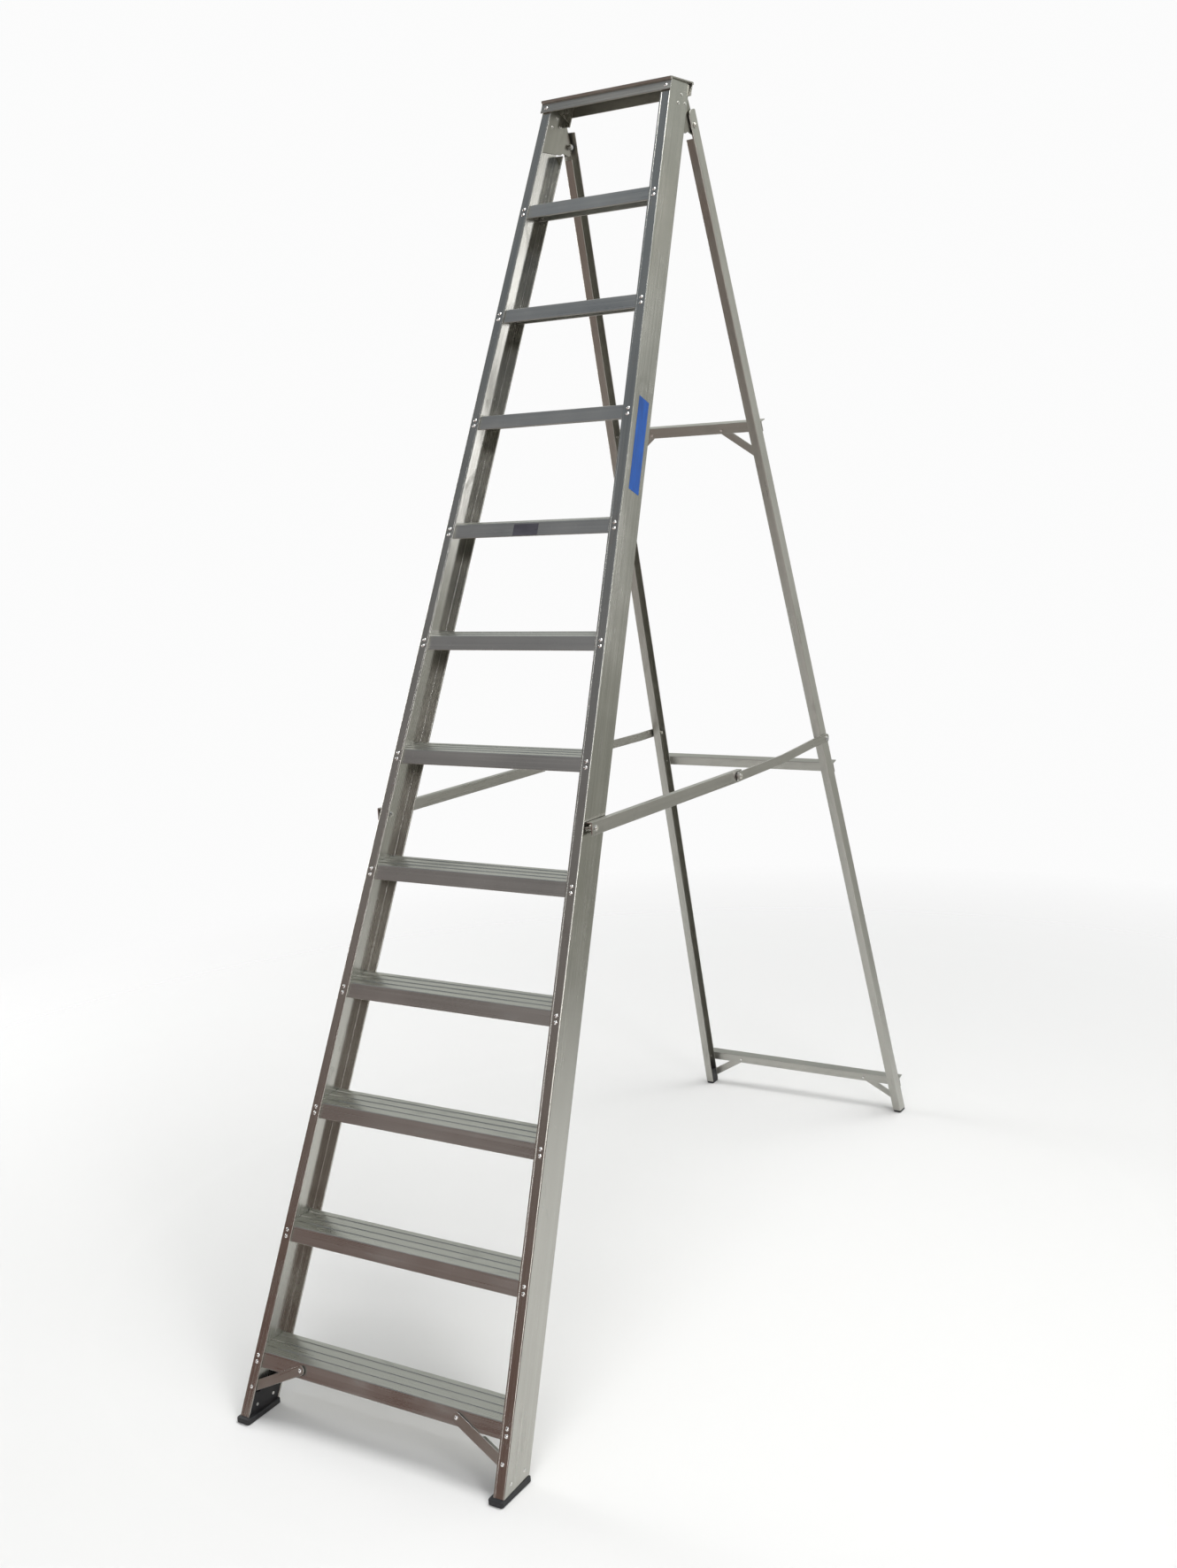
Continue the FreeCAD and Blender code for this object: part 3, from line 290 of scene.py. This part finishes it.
def dress_all():
    """Give every CAD node its finish."""
    for side, sign in (("right", 1), ("left", -1)):
        stile = rail(CLIMB_LEAN, STILE_TAPER, sign)
        leg = rail(-REAR_LEAN, LEG_TAPER, sign)
        dress(alloy("stile_alloy_" + side, stile, STILE_TINT, 0.20,
                    STILE_EDGE_RADIUS, STILE_EDGE_WEAR_AND_HIGHLIGHT),
              ["stile_" + side])
        dress(alloy("leg_alloy_" + side, leg, LEG_TINT, 0.32), ["rear_leg_" + side])
        dress(alloy("plate_alloy_" + side, stile, PLATE_TINT, 0.36),
              ["hinge_bracket_" + side])
        for kind in ("upper", "lower"):
            strap = "corner_brace_%s_%s" % (kind, side)
            lo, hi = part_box(strap)
            run = Vector((sign * (hi.x - lo.x), hi.y - lo.y, lo.z - hi.z)).normalized()
            dress(alloy("strap_alloy_%s_%s" % (kind, side), run, LEG_TINT, 0.34), [strap])
        lo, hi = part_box("tread_brace_" + side)
        run = Vector((sign * (hi.x - lo.x), lo.y - hi.y, lo.z - hi.z)).normalized()
        dress(alloy("brace_alloy_" + side, run, LEG_TINT, 0.32), ["tread_brace_" + side])
    dress(alloy("tread_alloy", ALONG_X, TREAD_TINT, 0.30),
          [n for n in NODES if n.startswith("tread_") and n[6:].isdigit()])
    dress(alloy("cap_alloy", ALONG_X, CAP_TINT, 0.34), ["top_cap"])
    dress(alloy("cross_alloy", ALONG_X, LEG_TINT, 0.34),
          ["upper_cross_brace", "middle_cross_brace", "lower_cross_brace"])
    dress(alloy("stay_alloy", ALONG_STAY, STAY_TINT, 0.30),
          [n for n in NODES if n.startswith("stay_") and "link" in n])
    dress(zinc("plated_steel"),
          [n for n in NODES if n.endswith(("bolts", "nuts", "washers", "spacers"))
           or n.startswith("elbow_")])
    dress(rivet_metal("rivet_alloy"), [n for n in NODES if "rivets" in n])
    dress(rubber("black_rubber"), [n for n in NODES if "_foot_" in n
                                   and not n.endswith("rivets")])
    dress(film("label_blue", (0.012, 0.085, 0.36), rgb(0.35, 0.45, 0.62),
               rail(CLIMB_LEAN, STILE_TAPER, 1)), ["side_label"])
    dress(film("label_grey", (0.075, 0.075, 0.09), rgb(0.16, 0.16, 0.17), ALONG_X),
          ["rating_label"])


# ---- Studio -------------------------------------------------------------

FLOOR_RADIUS = 9.0
FADE_FROM = 1.3          # the floor melts into the backdrop between these distances
FADE_TO = 3.8
BACKDROP = (0.97, 0.97, 0.97)


# Colours of the reflected hall, from straight down (0) to straight up (1).
FRONT_HALL = [(0.0, (0.52, 0.50, 0.47)), (0.50, (0.20, 0.105, 0.085)),
              (0.60, (0.22, 0.13, 0.11)), (0.70, (0.34, 0.31, 0.30)),
              (0.85, (0.25, 0.28, 0.32)), (1.0, (0.40, 0.42, 0.45))]
REAR_HALL = [(0.0, (0.40, 0.40, 0.36)), (0.35, (0.38, 0.38, 0.34)),
             (0.50, (0.42, 0.425, 0.385)), (0.58, (0.44, 0.46, 0.43)),
             (0.66, (0.82, 0.84, 0.78)), (0.78, (0.66, 0.68, 0.64)),
             (1.0, (0.40, 0.42, 0.45))]
HALL_BLEND = 0.25                   # half width of the change from front to rear, in Y


def floor():
    """Pale floor that melts into the backdrop away from the ladder."""
    bpy.ops.mesh.primitive_circle_add(vertices=96, radius=FLOOR_RADIUS, fill_type="NGON",
                                      location=(0, 0, -0.0006))
    ground = bpy.context.object
    ground.name = "studio_floor"
    s = Shader("floor_pale")
    here = s.position()
    s.feed("Base Color", rgb(0.78, 0.775, 0.765))
    s.feed("Roughness", 0.75)
    s.feed("Specular IOR Level", 0.2)
    out = s.node("ShaderNodeVectorMath", {0: here}, operation="LENGTH").outputs["Value"]
    s.feed("Alpha", s.remap(out, FADE_FROM, FADE_TO, 1.0, 0.0))
    ground.data.materials.append(s.material)


def world():
    """Pale backdrop for the eye, and a plain hall for the metal to reflect."""
    made = bpy.data.worlds.new("studio")
    bpy.context.scene.world = made
    made.use_nodes = True
    tree = made.node_tree
    tree.nodes.clear()
    out = tree.nodes.new("ShaderNodeOutputWorld")
    seen = tree.nodes.new("ShaderNodeBackground")
    seen.inputs["Color"].default_value = (*BACKDROP, 1.0)
    hall = tree.nodes.new("ShaderNodeBackground")
    where = tree.nodes.new("ShaderNodeTexCoord")
    split = tree.nodes.new("ShaderNodeSeparateXYZ")
    tree.links.new(where.outputs["Generated"], split.inputs[0])

    def ramp(source, stops):
        made_ramp = tree.nodes.new("ShaderNodeValToRGB")
        tree.links.new(source, made_ramp.inputs["Fac"])
        line = made_ramp.color_ramp
        while len(line.elements) < len(stops):
            line.elements.new(0.5)
        for element, (at, colour) in zip(line.elements, stops):
            element.position = at
            element.color = (*colour, 1.0)
        return made_ramp.outputs["Color"]

    def remapped(value, low, high):
        node = tree.nodes.new("ShaderNodeMapRange")
        tree.links.new(value, node.inputs["Value"])
        node.inputs["From Min"].default_value = low
        node.inputs["From Max"].default_value = high
        return node.outputs["Result"]

    height = remapped(split.outputs["Z"], -1.0, 1.0)
    front = ramp(height, FRONT_HALL)
    rear = ramp(height, REAR_HALL)
    depth = remapped(split.outputs["Y"], -HALL_BLEND, HALL_BLEND)
    blend = tree.nodes.new("ShaderNodeMix")
    blend.data_type = "RGBA"
    tree.links.new(depth, blend.inputs[0])
    tree.links.new(front, blend.inputs[6])
    tree.links.new(rear, blend.inputs[7])
    tree.links.new(blend.outputs[2], hall.inputs["Color"])
    eye = tree.nodes.new("ShaderNodeLightPath")
    pick = tree.nodes.new("ShaderNodeMixShader")
    tree.links.new(eye.outputs["Is Camera Ray"], pick.inputs[0])
    tree.links.new(hall.outputs[0], pick.inputs[1])
    tree.links.new(seen.outputs[0], pick.inputs[2])
    tree.links.new(pick.outputs[0], out.inputs[0])


# Soft lights: place, width and height in metres, power in watts and colour.
WHITE = (1.0, 1.0, 1.0)
AIM = (0.0, 0.0, 1.3)               # the ladder's middle
SOFTBOXES = {
    "overhead": ((1.2, 0.3, 5.6), 2.6, 2.6, 190, WHITE),
    "rear_right": ((7.6, 9.2, 2.2), 1.5, 3.0, 60, (0.97, 0.96, 1.0)),
    "rear_warm": ((5.9, 10.5, 4.4), 0.5, 0.5, 1.5, (1.0, 0.86, 0.74)),
    "left_side": ((-5.2, 0.4, 2.2), 1.4, 2.8, 110, WHITE),
    "right_side": ((4.2, -2.6, 3.2), 1.0, 2.8, 65, WHITE),
    "front_fill": ((1.5, -5.5, 2.6), 2.4, 2.4, 60, WHITE),
}


def softbox(name, place, width, height, power, colour):
    """Rectangular light that faces the ladder and is not seen itself."""
    light = bpy.data.lights.new(name, "AREA")
    light.shape = "RECTANGLE"
    light.size = width
    light.size_y = height
    light.energy = power
    light.color = colour
    made = bpy.data.objects.new(name, light)
    bpy.context.scene.collection.objects.link(made)
    made.visible_camera = False
    made.location = place
    made.rotation_euler = (Vector(AIM) - Vector(place)).to_track_quat("-Z", "Y").to_euler()


def lights():
    for name, settings in SOFTBOXES.items():
        softbox(name, *settings)


# ---- Camera: off the front right-hand corner, a little above head height
CAMERA_AT = (2.0955, -3.3477, 1.9446)
CAMERA_YAW = 32.408                 # degrees
CAMERA_PITCH = -11.092
CAMERA_ROLL = -3.887
FOCAL = 38.913                      # millimetres, as the sensor
SENSOR = 36.0


def camera():
    """The whole ladder, seen from its front right-hand corner."""
    data = bpy.data.cameras.new("camera")
    data.sensor_width = SENSOR
    data.lens = FOCAL
    data.clip_end = 200.0
    made = bpy.data.objects.new("camera", data)
    bpy.context.scene.collection.objects.link(made)
    yaw, pitch, roll = (math.radians(a) for a in (CAMERA_YAW, CAMERA_PITCH, CAMERA_ROLL))
    turn = (Matrix.Rotation(yaw, 3, "Z") @ Matrix.Rotation(math.pi / 2 + pitch, 3, "X")
            @ Matrix.Rotation(roll, 3, "Z"))
    made.matrix_world = Matrix.Translation(CAMERA_AT) @ turn.to_4x4()
    bpy.context.scene.camera = made


dress_all()
floor()
world()
lights()
camera()
bpy.context.scene.view_settings.view_transform = "Standard"
